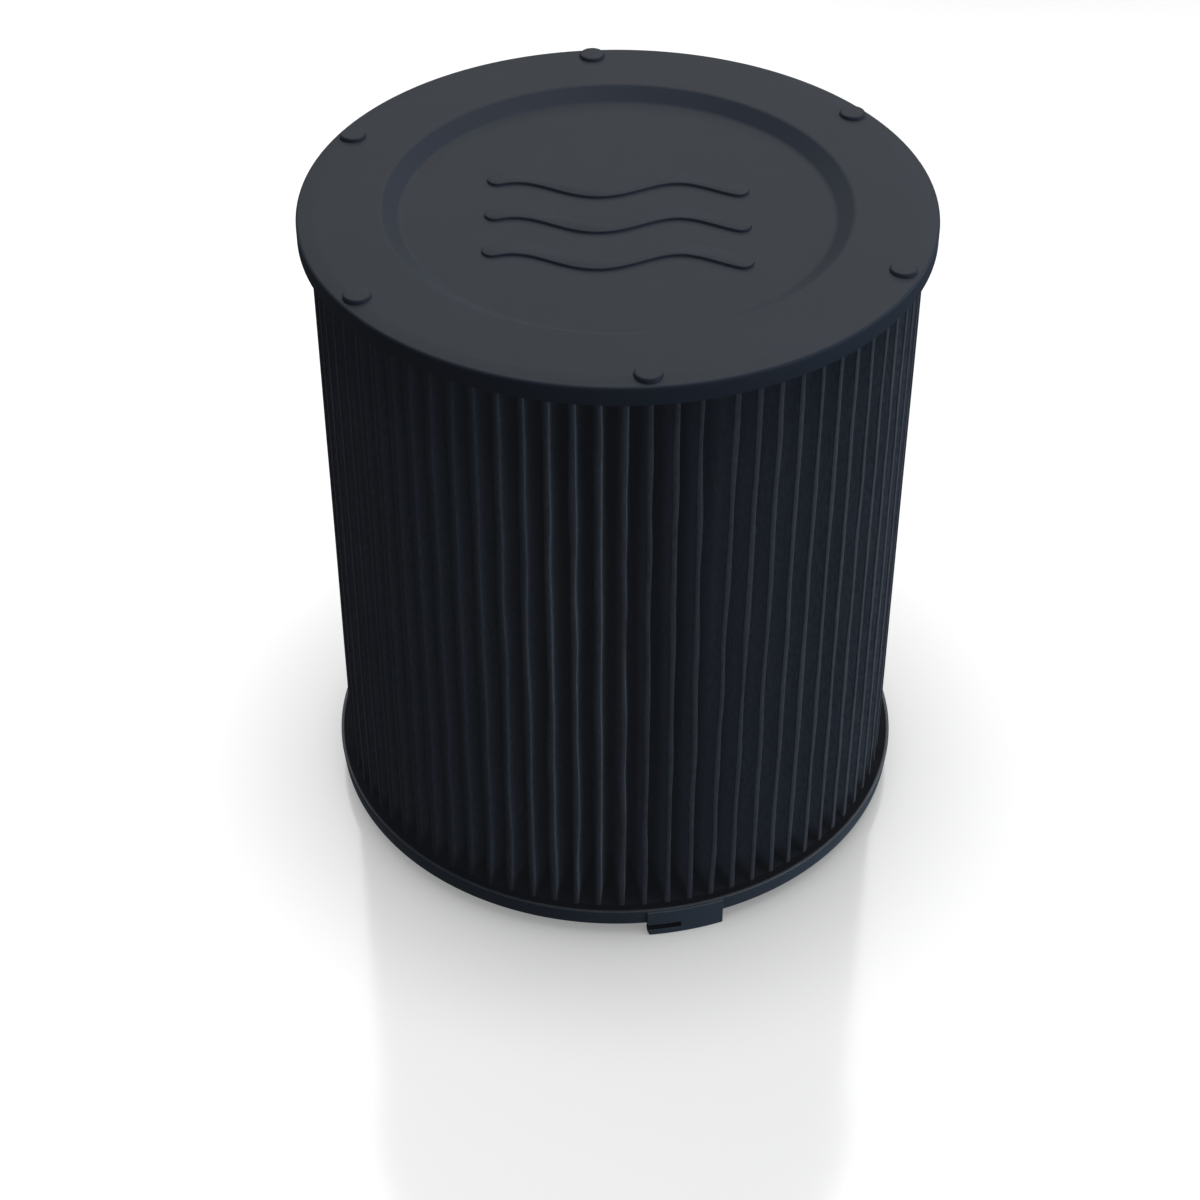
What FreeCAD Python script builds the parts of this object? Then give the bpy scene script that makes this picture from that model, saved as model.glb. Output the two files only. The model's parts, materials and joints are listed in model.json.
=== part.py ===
import FreeCAD, Part
import math
import os

# Cylindrical air purifier filter. A pleated ring of filter media stands round a lattice core
# and is glued at both ends, into a closed cap above and an open ring below.
# Millimetres, +Z up. The origin is under the filter's axis, level with the lugs' lower faces.

# Whole filter
cap_radius = 110.0
body_height = 243.8  # from the bottom ring's underside to the cap's top face

# Cap: a shallow moulded lid, turned down at its rim and sunk in the middle
cap_wall = 2.0
cap_skirt_height = 6.8
cap_edge_bevel = 0.6
recess_depth = 4.2
recess_slope_run = 7.0
recess_core_gap = 1.0

# Studs on the cap's rim
stud_count = 6
stud_inset = 5.7
stud_radius = 4.2
stud_height = 2.0
stud_draft = 0.5
stud_first_angle = -84.55

# Pleated media
pleat_count = 78
pleat_depth = 22.3
media_thickness = 0.7
fold_width = 2.0
fold_crest_bevel = 0.4
media_cap_gap = 2.0

# Glue beds at the media's ends
top_adhesive_depth = 2.5
bottom_adhesive_depth = 4.6

# Lattice core inside the pleats
core_wall = 1.8
core_media_gap = 0.3
core_column_count = 12
core_row_count = 2
core_end_band = 10.0
core_rib_width = 3.5
core_hoop_width = 4.0

# Bottom ring: a channel for the media, with a collar for the core
ring_height = 7.15
ring_floor = 2.0
ring_rim_wall = 1.5
ring_rim_draft = 0.7
ring_media_gap = 2.5
ring_foot_bevel = 0.8
collar_height = 6.0
collar_wall = 1.8
collar_core_gap = 0.3

# Bayonet lugs under the bottom ring
lug_count = 3
lug_middle_angle = -76.0
lug_length = 29.5
lug_thickness = 3.2
lug_drop = 5.2
lug_proud = 0.6
lug_pad_margin = 0.6
lug_slot_length = 12.8
lug_slot_height = 2.4
lug_lead_in = 1.0

# Foam gasket under the bottom ring
gasket_inset = 2.0
gasket_width = 10.0
gasket_thickness = 3.0

# Radii, from the cap's rim inwards
skirt_inner_radius = cap_radius - cap_wall
media_outer_radius = skirt_inner_radius - media_cap_gap
media_inner_radius = media_outer_radius - pleat_depth
core_outer_radius = media_inner_radius - core_media_gap
core_inner_radius = core_outer_radius - core_wall
recess_mouth_radius = core_inner_radius - recess_core_gap
recess_floor_radius = recess_mouth_radius - recess_slope_run

# Radii of the bottom ring, from the airway outwards
collar_outer_radius = core_inner_radius - collar_core_gap
opening_radius = collar_outer_radius - collar_wall
gasket_inner_radius = opening_radius + gasket_inset
gasket_outer_radius = gasket_inner_radius + gasket_width
rim_inner_radius = media_outer_radius + ring_media_gap
ring_outer_radius = rim_inner_radius + ring_rim_wall
lug_outer_radius = ring_outer_radius + lug_proud
lug_inner_radius = lug_outer_radius - lug_thickness

# Levels, from the lugs' lower faces upwards
ring_bottom = lug_drop
ring_floor_top = ring_bottom + ring_floor
ring_top = ring_bottom + ring_height
media_bottom = ring_floor_top + bottom_adhesive_depth
cap_top = ring_bottom + body_height
cap_plate_bottom = cap_top - cap_wall
media_top = cap_plate_bottom - top_adhesive_depth

up = FreeCAD.Vector(0, 0, 1)
centre = FreeCAD.Vector(0, 0, 0)
full_turn = 360.0


def turned(shape, angle):
    """A copy of a shape or point, turned about the filter's axis."""
    if isinstance(shape, FreeCAD.Vector):
        return FreeCAD.Rotation(up, angle).multVec(shape)
    copy = shape.copy()
    copy.rotate(centre, up, angle)
    return copy


def around(shape, count, first_angle=0.0):
    """Copies of a shape, evenly spaced about the filter's axis."""
    return [turned(shape, first_angle + full_turn * n / count) for n in range(count)]


def ring_of(corners, start_angle=0.0, sweep=full_turn):
    """The solid that a section, given as (radius, z) corners, makes when it turns about the axis."""
    points = [FreeCAD.Vector(radius, 0, z) for radius, z in corners]
    section = Part.Face(Part.makePolygon(points + points[:1]))
    return turned(section.revolve(centre, up, sweep), start_angle)


def square_ring(inner, outer, bottom, top, start_angle=0.0, sweep=full_turn):
    """A ring, or part of one, with a rectangular section."""
    return ring_of([(inner, bottom), (outer, bottom), (outer, top), (inner, top)], start_angle, sweep)


def stud():
    """One stud at angle zero, with its root inside the cap's plate."""
    top = cap_top + stud_height
    button = ring_of([
        (0, cap_top - cap_wall / 2),
        (stud_radius, cap_top - cap_wall / 2),
        (stud_radius, cap_top),
        (stud_radius - stud_draft, top),
        (0, top),
    ])
    button.translate(FreeCAD.Vector(cap_radius - stud_inset, 0, 0))
    return button


def top_cap():
    """The lid in one even wall: skirt, flat rim, sloped recess wall and sunken floor, with its studs."""
    slope_angle = math.atan2(recess_depth, recess_slope_run)
    bend_shift = cap_wall * math.tan(slope_angle / 2)
    recess_top = cap_top - recess_depth
    skirt_bottom = cap_top - cap_skirt_height
    lid = ring_of([
        (0, recess_top - cap_wall),
        (recess_floor_radius + bend_shift, recess_top - cap_wall),
        (recess_mouth_radius + bend_shift, cap_plate_bottom),
        (skirt_inner_radius, cap_plate_bottom),
        (skirt_inner_radius, skirt_bottom),
        (cap_radius, skirt_bottom),
        (cap_radius, cap_top - cap_edge_bevel),
        (cap_radius - cap_edge_bevel, cap_top),
        (recess_mouth_radius, cap_top),
        (recess_floor_radius, recess_top),
        (0, recess_top),
    ])
    return lid.fuse(around(stud(), stud_count, stud_first_angle))


def zigzag(crest, valley):
    """One closed line round the filter, from the points of one crest and of the valley beside it."""
    pitch = full_turn / pleat_count
    pleat = [FreeCAD.Vector(radius, side, 0) for radius, side in crest]
    pleat += [turned(FreeCAD.Vector(radius, side, 0), pitch / 2) for radius, side in valley]
    points = [turned(point, pitch * n) for n in range(pleat_count) for point in pleat]
    return Part.makePolygon(points + points[:1])


def pleated_media():
    """The folded sheet, of even thickness: creased flat at its folds, standing on end in a closed ring."""
    outer_half = fold_width / 2
    inner_half = outer_half - media_thickness
    crest_half = outer_half - fold_crest_bevel
    shoulder_radius = media_outer_radius - fold_crest_bevel
    under_crest_radius = media_outer_radius - media_thickness
    valley_floor_radius = media_inner_radius + media_thickness
    outside = zigzag(
        [
            (shoulder_radius, -outer_half),
            (media_outer_radius, -crest_half),
            (media_outer_radius, crest_half),
            (shoulder_radius, outer_half),
        ],
        [(valley_floor_radius, -inner_half), (valley_floor_radius, inner_half)],
    )
    inside = zigzag(
        [(under_crest_radius, -inner_half), (under_crest_radius, inner_half)],
        [(media_inner_radius, -outer_half), (media_inner_radius, outer_half)],
    )
    sheet_end = Part.Face([outside, inside])
    sheet_end.translate(up * media_bottom)
    return sheet_end.extrude(up * (media_top - media_bottom))


def inner_core():
    """The open tube that holds the pleats off the airway: upright ribs, hoops and two end bands."""
    tube = square_ring(core_inner_radius, core_outer_radius, ring_floor_top, cap_plate_bottom)
    lattice_height = cap_plate_bottom - ring_floor_top - 2 * core_end_band
    row_pitch = (lattice_height + core_hoop_width) / core_row_count
    window_width = 2 * math.pi * core_outer_radius / core_column_count - core_rib_width
    window = Part.makeBox(2 * core_wall, window_width, row_pitch - core_hoop_width)
    window.translate(FreeCAD.Vector(core_inner_radius - core_wall / 2, -window_width / 2, 0))
    windows = []
    for row in range(core_row_count):
        level = window.copy()
        level.translate(up * (ring_floor_top + core_end_band + row * row_pitch))
        windows += around(level, core_column_count)
    return tube.cut(Part.makeCompound(windows))


def lug():
    """One L-shaped lug: a pad on the rim, a leg below it, and a tongue with an open slot above it."""
    length_angle = math.degrees(lug_length / lug_outer_radius)
    slot_angle = math.degrees(lug_slot_length / lug_outer_radius)
    start_angle = lug_middle_angle - length_angle / 2
    pad_inner_radius = ring_outer_radius - ring_rim_draft - ring_rim_wall / 2
    pad_top = ring_top - lug_pad_margin
    pad = square_ring(pad_inner_radius, lug_outer_radius, ring_bottom, pad_top, start_angle, length_angle)
    leg = square_ring(lug_inner_radius, lug_outer_radius, 0, ring_floor_top, start_angle, length_angle)
    slot = square_ring(
        lug_inner_radius - lug_thickness,
        lug_outer_radius + lug_thickness,
        ring_bottom - lug_slot_height,
        ring_bottom,
        start_angle - slot_angle,
        2 * slot_angle,
    )
    wedge = [
        FreeCAD.Vector(lug_inner_radius - lug_thickness, along, z)
        for along, z in ((0, 0), (lug_lead_in, 0), (0, lug_drop - lug_slot_height))
    ]
    lead_in_end = Part.Face(Part.makePolygon(wedge + wedge[:1]))
    lead_in = lead_in_end.extrude(FreeCAD.Vector(3 * lug_thickness, 0, 0))
    return leg.cut([slot, turned(lead_in, start_angle)]).fuse(pad)


def bottom_ring():
    """The open lower end: rim, floor and collar turned as one, with its lugs."""
    collar_top = ring_floor_top + collar_height
    foot_radius = ring_outer_radius - ring_rim_draft
    body = ring_of([
        (opening_radius, ring_bottom),
        (foot_radius - ring_foot_bevel, ring_bottom),
        (foot_radius, ring_bottom + ring_foot_bevel),
        (ring_outer_radius, ring_top),
        (rim_inner_radius, ring_top),
        (rim_inner_radius, ring_floor_top),
        (collar_outer_radius, ring_floor_top),
        (collar_outer_radius, collar_top),
        (opening_radius, collar_top),
    ])
    return body.fuse(around(lug(), lug_count))


def top_adhesive():
    """The glue bed that holds the media's upper end in the cap."""
    return square_ring(core_outer_radius, skirt_inner_radius, media_top, cap_plate_bottom)


def bottom_adhesive():
    """The glue bed that holds the media's lower end in the bottom ring."""
    return square_ring(core_outer_radius, rim_inner_radius, ring_floor_top, media_bottom)


def seal_gasket():
    """The foam ring that seals the outlet against its seat."""
    gasket_bottom = ring_bottom - gasket_thickness
    return square_ring(gasket_inner_radius, gasket_outer_radius, gasket_bottom, ring_bottom)


makers = [top_cap, pleated_media, inner_core, bottom_ring, top_adhesive, bottom_adhesive, seal_gasket]
os.makedirs("parts", exist_ok=True)
for maker in makers:
    maker().exportStep("parts/" + maker.__name__ + ".step")
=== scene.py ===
import json
import math

import bmesh
import bpy
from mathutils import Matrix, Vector, noise


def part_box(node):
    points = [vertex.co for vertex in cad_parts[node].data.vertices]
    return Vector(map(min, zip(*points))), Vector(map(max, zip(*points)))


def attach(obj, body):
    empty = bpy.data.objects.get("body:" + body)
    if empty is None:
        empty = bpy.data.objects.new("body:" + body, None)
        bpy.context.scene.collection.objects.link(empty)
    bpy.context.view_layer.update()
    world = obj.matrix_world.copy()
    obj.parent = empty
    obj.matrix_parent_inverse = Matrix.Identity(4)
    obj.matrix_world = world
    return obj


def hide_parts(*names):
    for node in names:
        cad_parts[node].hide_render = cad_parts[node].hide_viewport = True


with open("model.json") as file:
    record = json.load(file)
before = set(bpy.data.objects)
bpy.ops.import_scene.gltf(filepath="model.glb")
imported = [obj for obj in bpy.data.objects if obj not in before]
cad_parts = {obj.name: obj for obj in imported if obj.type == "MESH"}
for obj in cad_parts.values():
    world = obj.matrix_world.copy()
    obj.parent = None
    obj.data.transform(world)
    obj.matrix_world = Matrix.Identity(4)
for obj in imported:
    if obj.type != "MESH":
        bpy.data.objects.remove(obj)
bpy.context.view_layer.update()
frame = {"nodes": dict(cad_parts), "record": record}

mm = 0.001
full_turn = 2 * math.pi

# Places and radii read from the frame
cap_low, cap_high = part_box("top_cap")
media_low, media_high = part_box("pleated_media")
gasket_low, gasket_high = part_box("seal_gasket")
bed_low, bed_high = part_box("bottom_adhesive")
cap_radius = cap_high.x
skirt_inner_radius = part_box("top_adhesive")[1].x
media_radius = media_high.x
core_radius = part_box("inner_core")[1].x
rim_inner_radius = bed_high.x
gasket_radius = gasket_high.x
bore_radius = frame["record"]["mounts"][0]["dims"]["r_mm"] * mm


# Outlines

def turned(point, angle):
    """A point (x, y), turned by an angle about the origin."""
    cos, sin = math.cos(angle), math.sin(angle)
    return (point[0] * cos - point[1] * sin, point[0] * sin + point[1] * cos)


def rounded(corners, steps=5):
    """The (radius, z) points of an outline whose corners (radius, z, round) are rounded by arcs."""
    points = []
    count = len(corners)
    for index, (radius, z, rounding) in enumerate(corners):
        here = Vector((radius, z))
        if rounding <= 0:
            points.append(here)
            continue
        back = (Vector(corners[index - 1][:2]) - here).normalized()
        on = (Vector(corners[(index + 1) % count][:2]) - here).normalized()
        half = back.angle(on) / 2
        hub = here + (back + on).normalized() * (rounding / math.sin(half))
        start = here + back * (rounding / math.tan(half)) - hub
        end = here + on * (rounding / math.tan(half)) - hub
        span = start.angle_signed(end)
        for step in range(steps + 1):
            points.append(hub + Vector(turned(start, -span * step / steps)))
    return [(point.x, point.y) for point in points]


def add_turned(mesh, outline, segments, closed=True, centre=(0.0, 0.0)):
    """Adds the surface that an outline makes when it turns about the upright line through centre."""
    rings = []
    for radius, z in outline:
        if radius < 1e-7:
            rings.append([mesh.verts.new((centre[0], centre[1], z))])
            continue
        ring = []
        for n in range(segments):
            turn = full_turn * n / segments
            x = centre[0] + radius * math.cos(turn)
            y = centre[1] + radius * math.sin(turn)
            ring.append(mesh.verts.new((x, y, z)))
        rings.append(ring)
    pairs = list(zip(rings, rings[1:]))
    if closed:
        pairs.append((rings[-1], rings[0]))
    for low, high in pairs:
        for n in range(segments):
            after = (n + 1) % segments
            if len(low) == 1 and len(high) == 1:
                break
            if len(low) == 1:
                mesh.faces.new((low[0], high[after], high[n]))
            elif len(high) == 1:
                mesh.faces.new((low[n], low[after], high[0]))
            else:
                mesh.faces.new((low[n], low[after], high[after], high[n]))


def finish_mesh(mesh, name, smooth_angle=40):
    """Turns a bmesh into an object with outward normals and smooth shading up to an edge angle."""
    bmesh.ops.recalc_face_normals(mesh, faces=mesh.faces)
    data = bpy.data.meshes.new(name)
    mesh.to_mesh(data)
    mesh.free()
    piece = bpy.data.objects.new(name, data)
    bpy.context.scene.collection.objects.link(piece)
    data.shade_smooth()
    data.set_sharp_from_angle(angle=math.radians(smooth_angle))
    return piece


# Materials

class Shader:
    """A material's node tree, with short ways to add nodes and links."""

    def __init__(self, name, roughness, specular):
        self.material = bpy.data.materials.new(name)
        self.material.use_nodes = True
        self.tree = self.material.node_tree
        self.surface = self.tree.nodes["Principled BSDF"]
        self.put(self.surface.inputs["Roughness"], roughness)
        self.put(self.surface.inputs["Specular IOR Level"], specular)
        place = self.tree.nodes.new("ShaderNodeTexCoord")
        self.place = place.outputs["Object"]

    def put(self, socket, value):
        """Sets an input to a value or links it to another node's output."""
        if isinstance(value, bpy.types.NodeSocket):
            self.tree.links.new(value, socket)
        else:
            socket.default_value = value

    def node(self, kind, settings=None, **inputs):
        """A new node with its settings and inputs."""
        made = self.tree.nodes.new(kind)
        for key, value in (settings or {}).items():
            setattr(made, key, value)
        for key, value in inputs.items():
            self.put(made.inputs[key.replace("_", " ")], value)
        return made

    def noise(self, scale, detail=2.0, stretch=(1.0, 1.0, 1.0), roughness=0.5):
        """A noise value; scale is in features a metre, and stretch multiplies it along each axis."""
        mapped = self.node("ShaderNodeMapping", Vector=self.place, Scale=stretch)
        made = self.node(
            "ShaderNodeTexNoise",
            Vector=mapped.outputs["Vector"], Scale=scale, Detail=detail, Roughness=roughness,
        )
        return made.outputs["Fac"]

    def math(self, operation, first, second=0.0, third=0.0):
        """The result of an operation on up to three values."""
        made = self.node("ShaderNodeMath", {"operation": operation})
        for socket, value in zip(made.inputs, (first, second, third)):
            self.put(socket, value)
        return made.outputs["Value"]

    def ramp(self, value, low, high, out_low=0.0, out_high=1.0):
        """A value brought smoothly from the range low to high into another range."""
        made = self.node("ShaderNodeMapRange", {"interpolation_type": "SMOOTHSTEP"}, Value=value)
        for key, number in (("From Min", low), ("From Max", high), ("To Min", out_low), ("To Max", out_high)):
            made.inputs[key].default_value = number
        return made.outputs["Result"]

    def mix(self, amount, first, second, blend="MIX"):
        """A colour made of two, by an amount from 0 to 1."""
        made = self.node("ShaderNodeMix", {"data_type": "RGBA", "blend_type": blend})
        for index, value in ((0, amount), (6, first), (7, second)):
            self.put(made.inputs[index], value)
        return made.outputs[2]

    def reach(self):
        """The distance of a point from the filter's axis."""
        flat = self.node("ShaderNodeVectorMath", {"operation": "MULTIPLY"})
        self.put(flat.inputs[0], self.place)
        self.put(flat.inputs[1], (1.0, 1.0, 0.0))
        length = self.node("ShaderNodeVectorMath", {"operation": "LENGTH"})
        self.put(length.inputs[0], flat.outputs["Vector"])
        return length.outputs["Value"]

    def colour(self, value):
        self.put(self.surface.inputs["Base Color"], value)

    def rough(self, value):
        self.put(self.surface.inputs["Roughness"], value)

    def bump(self, height, distance, strength=1.0, under=None):
        """Bumps the surface by a height value, over the bumps under it."""
        made = self.node("ShaderNodeBump", Height=height, Distance=distance, Strength=strength)
        if under:
            self.put(made.inputs["Normal"], under)
        self.put(self.surface.inputs["Normal"], made.outputs["Normal"])
        return made.outputs["Normal"]


def rgba(red, green, blue):
    return (red, green, blue, 1.0)


# Moulded plastic: scales in features a metre, depths, and how walls and backs differ from level faces; walls
# take a painted shade and faces that lean back a painted light
grain_scale = 2600.0
grain_depth = 0.03 * mm
mottle_scale = 38.0
mottle_depth = 0.25 * mm
scuff_scale = 90.0
scuff_stretch = (1.0, 7.0, 1.0)
scuff_shine = 0.06
level_from, level_full = 0.76, 0.97
back_light_lean = 0.25
back_painted_light = 1.25
wall_shade_tint = (0.98, 1.12, 1.30)
wall_shine = 0.08
level_dullness = 0.06
wall_specular = 0.6


def moulded_plastic(name, dark, light, roughness, specular):
    """Matte moulded plastic: fine grain on level faces, smoother walls, faint mottling; walls painted in a
    flat, bluer tone as painted shade, faces that lean back painted paler as painted light.
    """
    made = Shader(name, roughness, specular)
    facing = made.node("ShaderNodeNewGeometry").outputs["Normal"]
    parts = made.node("ShaderNodeSeparateXYZ", Vector=facing)
    # How lit a face counts: turned up, and a little towards the back; this mask places the painted light and
    # shade
    lit = made.math("MULTIPLY_ADD", parts.outputs["Y"], back_light_lean, parts.outputs["Z"])
    level = made.ramp(lit, level_from, level_full)
    mottle = made.noise(mottle_scale, 3.0)
    grains = made.noise(grain_scale, 2.0)
    scuffs = made.noise(scuff_scale, 4.0, scuff_stretch, 0.65)
    tone = made.ramp(mottle, 0.3, 0.7)
    tone = made.math("MULTIPLY_ADD", made.ramp(grains, 0.35, 0.65), 0.25, tone)
    # Faces that lean back get a paler colour: painted light
    pale = rgba(*(back_painted_light * part for part in light[:3]))
    even = made.mix(made.math("MULTIPLY", tone, 0.8), dark, light)
    grained_and_lit = made.mix(made.ramp(parts.outputs["Y"], 0.1, 0.4), even, pale)
    # Walls get a flat, bluer colour: painted shade
    smooth = rgba(*(tint * part for tint, part in zip(wall_shade_tint, dark)))
    made.colour(made.mix(level, smooth, grained_and_lit))
    shine = made.math("MULTIPLY_ADD", level, (1.0 - wall_specular) * specular, wall_specular * specular)
    made.put(made.surface.inputs["Specular IOR Level"], shine)
    worn = made.ramp(scuffs, 0.62, 0.74, 0.0, -scuff_shine)
    drawn = made.math("MULTIPLY_ADD", level, level_dullness, roughness - wall_shine)
    made.rough(made.math("ADD", made.math("ADD", worn, drawn), made.ramp(mottle, 0.25, 0.75, 0.0, 0.04)))
    coarse = made.bump(mottle, mottle_depth, 0.5)
    made.bump(grains, grain_depth, 1.0, coarse)
    return made.material


# Media: its own crest tone, the painted light in the folds and the painted shade at the foot, how far they
# reach in from the crests and up from the foot, and its fibres
fold_deep_painted_light = rgba(0.225, 0.254, 0.305)
fold_near_painted_light = rgba(0.140, 0.158, 0.194)
foot_painted_shade = rgba(0.030, 0.034, 0.042)
crest_tone = rgba(0.050, 0.057, 0.069)
crest_edge_start = 0.6 * mm
crest_edge_full = 0.1 * mm
fold_light_start = 1.5 * mm
fold_light_full = 9.0 * mm
foot_shade_reach = 9.0 * mm
fibre_scale = 900.0
fibre_depth = 0.12 * mm
patch_scale = 140.0
patch_depth = 0.5 * mm


def pleated_fabric(name):
    """Black non-woven media with pressed fibres: its own dark tone on the crests, walls painted lighter down
    in the folds as painted light, and darker towards the foot as painted shade.
    """
    made = Shader(name, 0.85, 0.25)
    made.put(made.surface.inputs["Sheen Weight"], 0.06)
    made.put(made.surface.inputs["Sheen Roughness"], 0.5)
    radius = made.reach()
    fibres = made.noise(fibre_scale, 4.0, (1.0, 1.0, 0.35), 0.6)
    patches = made.noise(patch_scale, 3.0, (1.0, 1.0, 0.3))
    edge = made.math("MULTIPLY_ADD", patches, patch_depth, radius)
    crest = made.ramp(edge, media_radius - crest_edge_start, media_radius - crest_edge_full)
    # Walls are painted lighter deeper in the folds: painted light; the crests keep the media's own tone
    near = made.ramp(radius, media_radius - fold_light_full, media_radius - fold_light_start)
    wall = made.mix(near, fold_deep_painted_light, fold_near_painted_light)
    # Towards the foot the walls are painted darker: painted shade
    height = made.node("ShaderNodeSeparateXYZ", Vector=made.place).outputs["Z"]
    foot = made.ramp(height, media_low.z, media_low.z + foot_shade_reach)
    wall = made.mix(foot, foot_painted_shade, wall)
    tone = made.mix(crest, wall, crest_tone)
    speckle = made.ramp(fibres, 0.3, 0.7, 0.78, 1.22)
    made.colour(made.mix(1.0, tone, speckle, "MULTIPLY"))
    soft = made.bump(patches, patch_depth, 0.6)
    made.bump(fibres, fibre_depth, 0.8, soft)
    return made.material


def foam(name):
    """Closed-cell foam: small round cells, dark and dull."""
    cell_scale = 1100.0
    cell_depth = 0.15 * mm
    swell_depth = 0.6 * mm
    made = Shader(name, 0.9, 0.2)
    cells = made.node("ShaderNodeTexVoronoi", Vector=made.place, Scale=cell_scale).outputs["Distance"]
    soft = made.noise(60.0, 2.0)
    made.colour(made.mix(made.ramp(cells, 0.1, 0.6), rgba(0.018, 0.018, 0.019), rgba(0.045, 0.045, 0.047)))
    swell = made.bump(soft, swell_depth, 0.5)
    made.bump(cells, cell_depth, 0.8, swell)
    return made.material


def set_glue(name):
    """Black hot-melt glue, set with a slightly wavy, dull skin, and painted lighter between the pleats as
    painted light, matching the fold walls.
    """
    wave_scale = 120.0
    wave_depth = 0.8 * mm
    made = Shader(name, 0.7, 0.08)
    waves = made.noise(wave_scale, 2.0)
    # Between the pleats the glue is painted lighter: painted light like the fold walls; at the outer edge it
    # stays black
    rim = made.ramp(made.reach(), media_radius - 1.2 * mm, media_radius - 0.2 * mm)
    black = made.mix(waves, rgba(0.0015, 0.002, 0.003), rgba(0.003, 0.004, 0.006))
    made.colour(made.mix(rim, rgba(0.016, 0.018, 0.022), black))
    made.rough(made.ramp(waves, 0.3, 0.7, 0.6, 0.8))
    made.bump(waves, wave_depth, 0.6)
    return made.material


# Cap

recess_depth = 4.2 * mm
recess_slope_run = 6.3 * mm
cap_wall = 2.0 * mm
stud_count = 6
stud_inset = 6.4 * mm
stud_height = 2.0 * mm
stud_radius = 4.8 * mm
stud_draft = 0.35 * mm
stud_edge_round = 0.8 * mm
stud_first_angle = math.radians(-84.55)
rim_crown = 1.0 * mm
rim_edge_rise = 0.15 * mm
rim_edge_round = 1.1 * mm
rim_shoulder_inset = 6.0 * mm
rim_shoulder_round = 12.0 * mm
recess_inset = 2.3 * mm
recess_mouth_round = 3.0 * mm
recess_floor_round = 4.0 * mm
recess_under_round = 3.0 * mm
round_segments = 288
stud_segments = 40
cap_top = cap_high.z - stud_height
recess_mouth_radius = core_radius - recess_inset
recess_floor_radius = recess_mouth_radius - recess_slope_run
recess_floor = cap_top + rim_crown - recess_depth


def make_cap():
    """The lid with its crowned rim and rounded edges, and its studs."""
    mesh = bmesh.new()
    slope = math.atan2(recess_depth, recess_slope_run)
    shift = cap_wall * math.tan(slope / 2)
    outline = rounded([
        (0, recess_floor - cap_wall, 0),
        (recess_floor_radius + shift, recess_floor - cap_wall, recess_under_round),
        (recess_mouth_radius + shift, cap_top - cap_wall, 0.6 * mm),
        (skirt_inner_radius, cap_top - cap_wall, 0.3 * mm),
        (skirt_inner_radius, cap_low.z, 0.4 * mm),
        (cap_radius, cap_low.z, 0.5 * mm),
        (cap_radius, cap_top + rim_edge_rise, rim_edge_round),
        (cap_radius - rim_shoulder_inset, cap_top + 0.7 * rim_crown, rim_shoulder_round),
        (recess_mouth_radius, cap_top + rim_crown, recess_mouth_round),
        (recess_floor_radius, recess_floor, recess_floor_round),
        (0, recess_floor, 0),
    ], 6)
    add_turned(mesh, outline, round_segments, closed=False)
    stud_outline = rounded([
        (0, cap_top - cap_wall / 2, 0),
        (stud_radius + 0.3 * mm, cap_top - cap_wall / 2, 0),
        (stud_radius, cap_top + 0.6 * rim_crown, 0),
        (stud_radius - stud_draft, cap_top + stud_height, stud_edge_round),
        (0, cap_top + stud_height, 0),
    ], 6)
    for n in range(stud_count):
        angle = stud_first_angle + full_turn * n / stud_count
        reach = cap_radius - stud_inset
        place = (reach * math.cos(angle), reach * math.sin(angle))
        add_turned(mesh, stud_outline, stud_segments, False, place)
    return finish_mesh(mesh, "cap_shell", 50)


# Raised sign on the cap's recess: three waves of moving air

wave_count = 3
wave_pitch = 23.0 * mm
wave_shift = -7.0 * mm
wave_length = 84.0 * mm
wave_rise = 4.6 * mm
wave_half_width = 3.6 * mm
wave_height = 0.95 * mm
wave_edge = 0.35 * mm
wave_turns = 1.5
wave_steps = 84
wave_end_steps = 14


def wave_point(t, row):
    """A point of a wave's middle line, and the unit vector across it, for t from 0 to 1."""
    x = (t - 0.5) * wave_length
    phase = full_turn * wave_turns * t + 0.25 * math.pi
    y = wave_shift + (row - (wave_count - 1) / 2) * wave_pitch + wave_rise * math.sin(phase)
    slope = wave_rise * math.cos(phase) * full_turn * wave_turns / wave_length
    across = Vector((-slope, 1.0)).normalized()
    return Vector((x, y)), across


def make_waves():
    """The raised waves, each a strip with a filleted foot, a rounded edge and round ends."""
    mesh = bmesh.new()
    profile = [
        (wave_half_width + 0.45 * mm, -0.25 * mm),
        (wave_half_width + 0.1 * mm, 0.12 * mm),
        (wave_half_width, 0.3 * mm),
        (wave_half_width - 0.05 * mm, wave_height - wave_edge),
        (wave_half_width - 0.15 * mm, wave_height - 0.1 * mm),
        (wave_half_width - wave_edge, wave_height),
    ]
    for row in range(wave_count):
        stations = []
        for side in (1, -1):
            steps = range(wave_steps + 1) if side == 1 else range(wave_steps, -1, -1)
            for step in steps:
                point, across = wave_point(step / wave_steps, row)
                stations.append((point, across * side))
            end, across = wave_point(1.0 if side == 1 else 0.0, row)
            for step in range(1, wave_end_steps):
                stations.append((end, Vector(turned(across * side, -math.pi * step / wave_end_steps))))
        loops = []
        for out, height in profile:
            loops.append([
                mesh.verts.new((*(point + across * out), recess_floor + height)) for point, across in stations
            ])
        for low, high in zip(loops, loops[1:]):
            for n in range(len(stations)):
                after = (n + 1) % len(stations)
                mesh.faces.new((low[n], low[after], high[after], high[n]))
        mesh.faces.new(loops[-1])
        mesh.faces.new(list(reversed(loops[0])))
    return finish_mesh(mesh, "air_waves", 55)


# Pleated media

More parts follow.
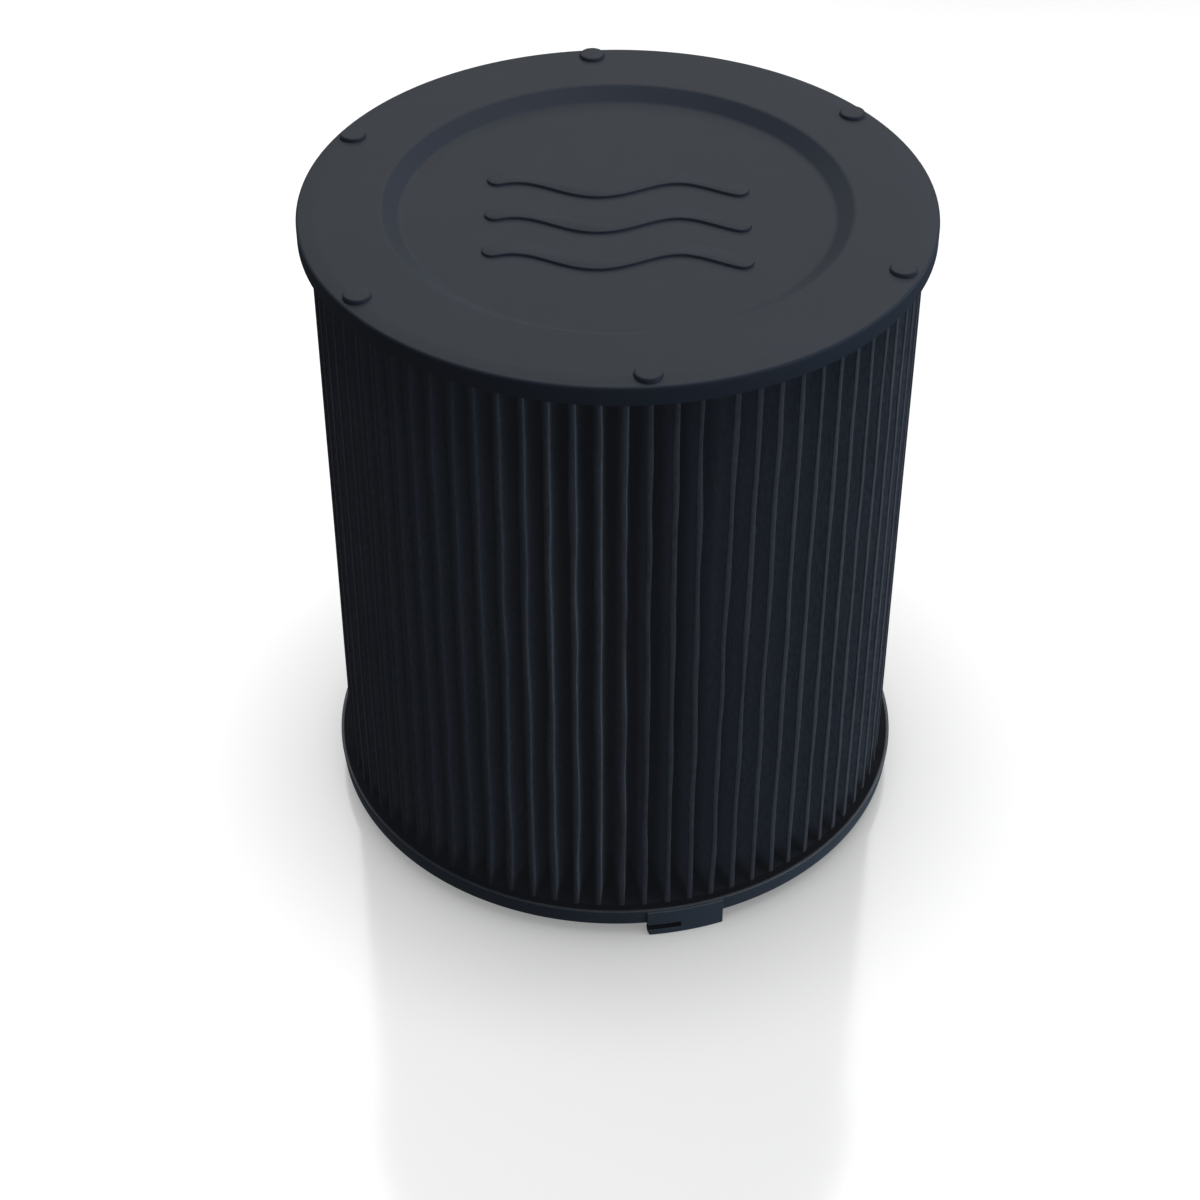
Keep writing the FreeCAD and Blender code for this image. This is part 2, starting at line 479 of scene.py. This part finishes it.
pleat_count = 78
core_gap = 0.3 * mm
pleat_depth = media_radius - core_radius - core_gap
sheet_thickness = 0.7 * mm
crest_half = 1.0 * mm
crest_round = 0.25 * mm
fold_gap = crest_half - sheet_thickness
media_rows = 40
wall_shares = (0.3, 0.65)
outer_fold_points = (7, 3)
inner_fold_points = (3, 5)
fold_arc = 0.94 * math.pi
first_crest = math.radians(-88.5)
pleat_pitch = full_turn / pleat_count

# One wider gap: the crest after it, the lean of the crests on both sides, and over how many pleats it fades
gap_crest = 4
gap_opening = math.radians(1.5)
gap_closing = math.radians(0.6)
gap_opening_reach = 3.5
gap_closing_reach = 2.5
lean_growth = 1.4

# Unevenness of the crests and walls
drift_angle = 0.0035
wobble_angle = 0.0052
crest_set_back = 0.25 * mm
crest_swell_mean = 1.02
crest_swell_range = 0.4
wall_bow = 0.5 * mm


def wander(pleat, height, per_pleat, per_height, layer):
    """A value between about -1 and 1 that changes from pleat to pleat and smoothly up the height."""
    return noise.noise(Vector((pleat * per_pleat, height * per_height, layer)))


def crest_angle(pleat, height):
    """Where a crest stands, for a height from 0 to 1. The wider gap opens from the foot upwards."""
    angle = first_crest + pleat * pleat_pitch
    after = (pleat - gap_crest) % pleat_count
    before = pleat_count - 1 - after
    opening = gap_opening * math.exp(-after / gap_opening_reach)
    closing = gap_closing * math.exp(-before / gap_closing_reach)
    lean = opening - closing
    drift = drift_angle * wander(pleat, height, 0.63, 2.2, 7.0)
    wobble = wobble_angle * wander(pleat, height, 3.1, 9.0, 19.0)
    return angle + lean * height ** lean_growth + drift + wobble


def sheet_side(fold_points, crest_radius, half_crest, valley_radius, half_valley):
    """The points of one pleat on one side of the sheet. A point of a fold is (radius, offset, valley), with
    valley 0 at the crest and 1 at the valley. A point of a wall is (shoulder, foot, share), with share how
    far it lies from the shoulder to the foot, and below 0 on the wall that climbs to the next crest."""
    crest_points, valley_points = fold_points
    points = []
    for step in range(crest_points):
        turn = fold_arc * (step / (crest_points - 1) - 0.5)
        flat = max(half_crest - crest_round, 0)
        corner = half_crest - flat
        side = math.copysign(flat, turn) if step * 2 != crest_points - 1 else 0
        points.append((crest_radius - corner * (1 - math.cos(turn)), side + corner * math.sin(turn), 0))
    shoulder = points[-1]
    foot = (valley_radius + half_valley, -half_valley)
    for share in wall_shares:
        points.append((shoulder, foot, share))
    for step in range(valley_points):
        turn = fold_arc * (step / (valley_points - 1) - 0.5)
        points.append((valley_radius + half_valley * (1 - math.cos(turn)), half_valley * math.sin(turn), 1))
    for share in reversed(wall_shares):
        points.append((shoulder, foot, -share))
    return points


def pleat_parts(crest_points, valley_points):
    """The ranges of a pleat's points that make its crest, its wall, its valley and the wall that climbs."""
    foot = crest_points + len(wall_shares)
    climb = foot + valley_points
    return [
        (0, crest_points),
        (crest_points - 1, foot + 1),
        (foot, climb),
        (climb - 1, climb + len(wall_shares) + 1),
    ]


def part_points(level, pleat, part):
    """The points of one part of one pleat, from one skin's points at one level."""
    step = len(level) // pleat_count
    return [level[(pleat * step + n) % len(level)] for n in range(*part)]


def close_end(mesh, outer, inner):
    """Closes the sheet's edge at one end, with one face for each part of each pleat."""
    parts = list(zip(pleat_parts(*outer_fold_points), pleat_parts(*inner_fold_points)))
    for pleat in range(pleat_count):
        for outer_part, inner_part in parts:
            back = part_points(inner, pleat, inner_part)[::-1]
            mesh.faces.new(part_points(outer, pleat, outer_part) + back)


def pleat_line(side, pleat, height):
    """The (x, y) points of one pleat on one side of the sheet, for a height from 0 to 1."""
    here = crest_angle(pleat, height)
    after = crest_angle((pleat + 1) % pleat_count, height)
    if after < here:
        after += full_turn
    middle = (here + after) / 2
    swell = crest_swell_mean + crest_swell_range * wander(pleat, height, 1.7, 7.0, 3.0)
    set_back = crest_set_back * (0.5 + 0.5 * wander(pleat, height, 2.3, 3.0, 31.0))
    bow = wall_bow * wander(pleat, height, 0.9, 2.5, 47.0)
    line = []
    for point in side:
        if isinstance(point[0], tuple):
            shoulder, foot, share = point
            angle, hand = (here, 1) if share > 0 else (after, -1)
            share = abs(share)
            start = turned(Vector((shoulder[0] - set_back, hand * shoulder[1] * swell)), angle)
            end = turned(Vector((foot[0], hand * foot[1])), middle)
            curl = bow * math.sin(math.pi * share)
            x = start[0] + (end[0] - start[0]) * share - curl * math.sin(middle)
            y = start[1] + (end[1] - start[1]) * share + curl * math.cos(middle)
            line.append((x, y))
        else:
            radius, offset, valley = point
            if valley:
                line.append(turned((radius, offset), middle))
            else:
                line.append(turned((radius - set_back, offset * swell), here))
    return line


def make_media():
    """The folded sheet, as an outer and an inner skin joined at both ends."""
    mesh = bmesh.new()
    height = media_high.z - media_low.z
    inner_radius = media_radius - pleat_depth
    sides = [
        sheet_side(outer_fold_points, media_radius, crest_half, inner_radius + sheet_thickness, fold_gap),
        sheet_side(inner_fold_points, media_radius - sheet_thickness, fold_gap, inner_radius, crest_half),
    ]
    grids = []
    for side in sides:
        grid = []
        for row in range(media_rows + 1):
            share = row / media_rows
            z = media_low.z + height * share
            level = []
            for pleat in range(pleat_count):
                level += [mesh.verts.new((x, y, z)) for x, y in pleat_line(side, pleat, share)]
            grid.append(level)
        for low, high in zip(grid, grid[1:]):
            for n in range(len(low)):
                after = (n + 1) % len(low)
                mesh.faces.new((low[n], low[after], high[after], high[n]))
        grids.append(grid)
    for row in (0, -1):
        close_end(mesh, grids[0][row], grids[1][row])
    return finish_mesh(mesh, "media_sheet", 60)


# Bottom ring and its lugs

ring_height = 7.15 * mm
ring_floor = 2.0 * mm
ring_rim_wall = 1.5 * mm
ring_rim_draft = 0.7 * mm
collar_height = 6.0 * mm
collar_wall = 1.8 * mm
ring_bottom = bed_low.z - ring_floor
ring_top = ring_bottom + ring_height
ring_outer_radius = rim_inner_radius + ring_rim_wall
ring_foot_radius = ring_outer_radius - ring_rim_draft
collar_outer_radius = bore_radius + collar_wall
lug_count = 3
lug_middle_angle = math.radians(-76.0)
lug_length = 29.5 * mm
lug_slot_length = 12.8 * mm
lug_slot_height = 2.4 * mm
lug_thickness = 3.2 * mm
lug_lead_in = 1.0 * mm
lug_proud = 0.6 * mm
lug_pad_margin = 0.6 * mm
lug_edge_round = 0.4 * mm
lug_outer_radius = ring_outer_radius + lug_proud


def add_lug(mesh, middle_angle):
    """An L-shaped lug, built from bent blocks that share their faces."""
    slot_steps = 9
    length_steps = 20
    cells = set()
    step_length = (lug_length - lug_slot_length) / (length_steps - slot_steps)
    alongs = [lug_slot_length * n / slot_steps for n in range(slot_steps)]
    alongs += [lug_slot_length + step_length * n for n in range(length_steps - slot_steps + 1)]
    levels = [0.0, ring_bottom - lug_slot_height, ring_bottom, bed_low.z, ring_top - lug_pad_margin]
    radii = [lug_outer_radius - lug_thickness, ring_foot_radius - ring_rim_wall / 2, lug_outer_radius]
    layers = len(levels) - 1
    depths = len(radii) - 1
    for i in range(length_steps):
        for j in range(layers):
            for k in range(depths):
                in_slot = j == 1 and i < slot_steps
                above_leg = j == 3 and k == 0
                if not in_slot and not above_leg:
                    cells.add((i, j, k))
    made = {}

    def corner(i, j, k):
        if (i, j, k) not in made:
            along = alongs[i]
            if i == 0 and j == 0:
                along += lug_lead_in
            angle = middle_angle + (along - lug_length / 2) / lug_outer_radius
            x = radii[k] * math.cos(angle)
            y = radii[k] * math.sin(angle)
            made[i, j, k] = mesh.verts.new((x, y, levels[j]))
        return made[i, j, k]

    sides = [
        ((-1, 0, 0), ((0, 0, 0), (0, 0, 1), (0, 1, 1), (0, 1, 0))),
        ((1, 0, 0), ((1, 0, 0), (1, 1, 0), (1, 1, 1), (1, 0, 1))),
        ((0, -1, 0), ((0, 0, 0), (1, 0, 0), (1, 0, 1), (0, 0, 1))),
        ((0, 1, 0), ((0, 1, 0), (0, 1, 1), (1, 1, 1), (1, 1, 0))),
        ((0, 0, -1), ((0, 0, 0), (0, 1, 0), (1, 1, 0), (1, 0, 0))),
        ((0, 0, 1), ((0, 0, 1), (1, 0, 1), (1, 1, 1), (0, 1, 1))),
    ]
    for i, j, k in cells:
        for step, corners in sides:
            beside = (i + step[0], j + step[1], k + step[2])
            if beside not in cells:
                face = mesh.faces.new([corner(i + a, j + b, k + c) for a, b, c in corners])
                # Faces that border the slot take the second material, near black: painted shade inside the
                # slot
                by_slot = beside[1] == 1 and 0 <= beside[0] < slot_steps and 0 <= beside[2] < depths
                face.material_index = int(by_slot)


def make_ring():
    """The bottom ring's rim, floor and collar."""
    mesh = bmesh.new()
    outline = rounded([
        (bore_radius, ring_bottom, 0.4 * mm),
        (ring_foot_radius, ring_bottom, 0.9 * mm),
        (ring_outer_radius, ring_top, 0.5 * mm),
        (rim_inner_radius, ring_top, 0.5 * mm),
        (rim_inner_radius, bed_low.z, 0.3 * mm),
        (collar_outer_radius, bed_low.z, 0.3 * mm),
        (collar_outer_radius, bed_low.z + collar_height, 0.5 * mm),
        (bore_radius, bed_low.z + collar_height, 0.5 * mm),
    ])
    add_turned(mesh, outline, round_segments)
    return finish_mesh(mesh, "ring_body", 50)


def make_lugs():
    """All the lugs, with softened edges."""
    mesh = bmesh.new()
    for n in range(lug_count):
        add_lug(mesh, lug_middle_angle + full_turn * n / lug_count)
    piece = finish_mesh(mesh, "ring_lugs", 30)
    bevel = piece.modifiers.new("soft_edges", "BEVEL")
    bevel.width = lug_edge_round
    bevel.segments = 3
    bevel.limit_method = "ANGLE"
    bevel.angle_limit = math.radians(35)
    bevel.harden_normals = True
    return piece


def make_gasket():
    """The foam ring, with softer edges below, where it is free, than above, where it is glued."""
    inset = 2.0 * mm
    free_round = 0.9 * mm
    glued_round = 0.3 * mm
    inner = bore_radius + inset
    mesh = bmesh.new()
    outline = rounded([
        (inner, gasket_low.z, free_round),
        (gasket_radius, gasket_low.z, free_round),
        (gasket_radius, gasket_high.z, glued_round),
        (inner, gasket_high.z, glued_round),
    ])
    add_turned(mesh, outline, 220)
    return finish_mesh(mesh, "gasket_ring", 60)


# Stage, lights and camera

# Camera: its place, its turn down and to the left in radians, and its lens and sensor in millimetres
camera_back = 748.2 * mm
camera_height = 696.5 * mm + ring_bottom
camera_pitch = 0.7005
camera_yaw = 0.0081
focal_length = 75.64
sensor_width = 36.0

# Light that the lens spreads evenly over the picture
stray_light = (0.0047, 0.0050, 0.0062)

# Floor: its own light, its shade near the filter and its gloss, in metres and shares of full light
floor_size = 8.0
floor_light_front, floor_light_back = 0.94, 0.89
floor_fade_front = (-0.6, -0.15)
floor_fade_right = (-0.12, 0.25)
floor_loss_right = 0.11
shade_inner_radius = 0.10
shade_outer_radius = 0.18
shade_light = 0.68
contact_reach = 0.03
contact_light = 0.45
floor_gloss = 0.15
floor_gloss_roughness = 0.12


def make_stage():
    """A pale floor with a light of its own, which shades towards the filter and mirrors it softly."""
    bpy.ops.mesh.primitive_plane_add(size=floor_size, location=(0, 0, 0))
    floor = bpy.context.object
    floor.name = "studio_floor"
    made = Shader("studio_floor", 0.9, 0.0)
    made.colour(rgba(0.25, 0.245, 0.24))
    made.put(made.surface.inputs["Emission Color"], rgba(1.0, 1.0, 1.0))
    parts = made.node("ShaderNodeSeparateXYZ", Vector=made.place)
    right = made.ramp(parts.outputs["X"], *floor_fade_right)
    front = made.ramp(parts.outputs["Y"], *floor_fade_front, floor_light_front, floor_light_back)
    glow = made.math("MULTIPLY_ADD", right, -floor_loss_right, front)
    shade = made.ramp(made.reach(), shade_inner_radius, shade_outer_radius, shade_light, 1.0)
    glow = made.math("MULTIPLY", glow, shade)
    near = made.node("ShaderNodeAmbientOcclusion", {"samples": 12}, Distance=contact_reach).outputs["AO"]
    glow = made.math("MULTIPLY", glow, made.ramp(near, 0.0, 1.0, contact_light, 1.0))
    made.put(made.surface.inputs["Emission Strength"], glow)
    gloss = made.node("ShaderNodeBsdfGlossy", Color=rgba(1.0, 1.0, 1.0), Roughness=floor_gloss_roughness)
    mixed = made.node("ShaderNodeMixShader", Fac=floor_gloss)
    made.tree.links.new(made.surface.outputs["BSDF"], mixed.inputs[1])
    made.tree.links.new(gloss.outputs["BSDF"], mixed.inputs[2])
    made.tree.links.new(mixed.outputs["Shader"], made.tree.nodes["Material Output"].inputs["Surface"])
    floor.data.materials.append(made.material)
    floor.visible_diffuse = False
    floor.visible_glossy = False


def area_light(name, place, aim, size, watts, colour=(1.0, 1.0, 1.0)):
    """A soft light at a place, turned to a point that it aims at."""
    data = bpy.data.lights.new(name, "AREA")
    data.shape = "RECTANGLE"
    data.size, data.size_y = size
    data.energy = watts
    data.color = colour
    light = bpy.data.objects.new(name, data)
    light.location = place
    light.rotation_euler = (Vector(aim) - Vector(place)).to_track_quat("-Z", "Y").to_euler()
    bpy.context.scene.collection.objects.link(light)


def make_lights():
    area_light("overhead", (0.38, 0.16, 1.9), (0, 0, 0.1), (1.7, 1.7), 22.5)
    area_light("back_panel", (0.0, 1.9, 1.6), (0, 0, 0.1), (3.2, 1.8), 22.0)
    area_light("key_right", (1.34, -0.60, 0.30), (0, 0, 0.16), (0.6, 0.5), 4.6, (0.80, 0.90, 1.0))
    area_light("front_fill", (1.2, -1.15, 0.9), (0, 0, 0.13), (0.5, 0.5), 0.9, (0.62, 0.81, 1.0))
    area_light("rim_left", (-1.1, 0.9, 0.4), (0, 0, 0.12), (0.3, 0.9), 1.2)
    area_light("rim_right", (1.2, 0.55, 0.4), (0, 0, 0.12), (0.3, 0.9), 3.0)


def fade(tree, value, low, high, out_low, out_high):
    """A value brought evenly from the range low to high into another range."""
    made = tree.nodes.new("ShaderNodeMapRange")
    tree.links.new(value, made.inputs["Value"])
    for key, number in (("From Min", low), ("From Max", high), ("To Min", out_low), ("To Max", out_high)):
        made.inputs[key].default_value = number
    return made.outputs["Result"]


def make_world():
    """A dim blue room, lighter to the right, with some light thrown back from below."""
    world = bpy.data.worlds.new("studio")
    world.use_nodes = True
    tree = world.node_tree
    sky = tree.nodes["Background"]
    sky.inputs["Color"].default_value = rgba(0.62, 0.80, 1.0)
    towards = tree.nodes.new("ShaderNodeTexCoord")
    split = tree.nodes.new("ShaderNodeSeparateXYZ")
    tree.links.new(towards.outputs["Generated"], split.inputs["Vector"])
    both = tree.nodes.new("ShaderNodeMath")
    tree.links.new(fade(tree, split.outputs["X"], -0.1, 0.9, 0.008, 0.16), both.inputs[0])
    tree.links.new(fade(tree, split.outputs["Z"], -0.6, -0.1, 0.06, 0.0), both.inputs[1])
    tree.links.new(both.outputs["Value"], sky.inputs["Strength"])
    bpy.context.scene.world = world


def make_camera():
    data = bpy.data.cameras.new("camera")
    data.lens = focal_length
    data.sensor_width = sensor_width
    camera = bpy.data.objects.new("camera", data)
    camera.location = (0, -camera_back, camera_height)
    camera.rotation_euler = (math.pi / 2 - camera_pitch, 0, camera_yaw)
    bpy.context.scene.collection.objects.link(camera)
    bpy.context.scene.camera = camera


def dress(piece, material, slot, *nodes):
    """Gives a new piece its material, its body and the solids that it stands for. Its slot is not used."""
    piece.data.materials.append(material)
    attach(piece, "root")
    if nodes:
        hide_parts(*nodes)


def repaint(node, material):
    """Gives a solid a better material in each of its slots."""
    data = frame["nodes"][node].data
    for index in range(len(data.materials)):
        data.materials[index] = material


cap_plastic = moulded_plastic(
    "cap_plastic", rgba(0.0210, 0.0256, 0.0338), rgba(0.0262, 0.0311, 0.0410), roughness=0.58, specular=0.2
)
ring_plastic = moulded_plastic(
    "ring_plastic", rgba(0.048, 0.054, 0.061), rgba(0.058, 0.065, 0.072), roughness=0.36, specular=0.5
)
# A lighter copy of the ring's plastic for the lugs: painted light on their upright faces
lug_lit_plastic = moulded_plastic(
    "lug_lit_plastic", rgba(0.061, 0.070, 0.078), rgba(0.075, 0.085, 0.095), roughness=0.42, specular=0.5
)
# Near-black plastic for the inside of the lugs' slots: painted shade
slot_shade = moulded_plastic(
    "slot_shade", rgba(0.001, 0.0012, 0.0015), rgba(0.002, 0.0022, 0.0025), roughness=0.8, specular=0.05
)
core_plastic = moulded_plastic(
    "core_plastic", rgba(0.022, 0.023, 0.026), rgba(0.030, 0.031, 0.034), roughness=0.55, specular=0.4
)

dress(make_cap(), cap_plastic, "cap_plastic", "top_cap")
dress(make_waves(), cap_plastic, "cap_plastic")
dress(make_media(), pleated_fabric("filter_media"), "filter_media", "pleated_media")
dress(make_ring(), ring_plastic, "ring_plastic", "bottom_ring")
lugs = make_lugs()
dress(lugs, lug_lit_plastic, "ring_plastic")
lugs.data.materials.append(slot_shade)
dress(make_gasket(), foam("gasket_foam"), "gasket_foam", "seal_gasket")
repaint("inner_core", core_plastic)
glue = set_glue("adhesive")
repaint("top_adhesive", glue)
repaint("bottom_adhesive", glue)

make_stage()
make_lights()
make_world()
make_camera()
view = bpy.context.scene.view_settings
view.view_transform = "Standard"
view.use_curve_mapping = True
view.curve_mapping.black_level = [-part for part in stray_light]
view.curve_mapping.update()
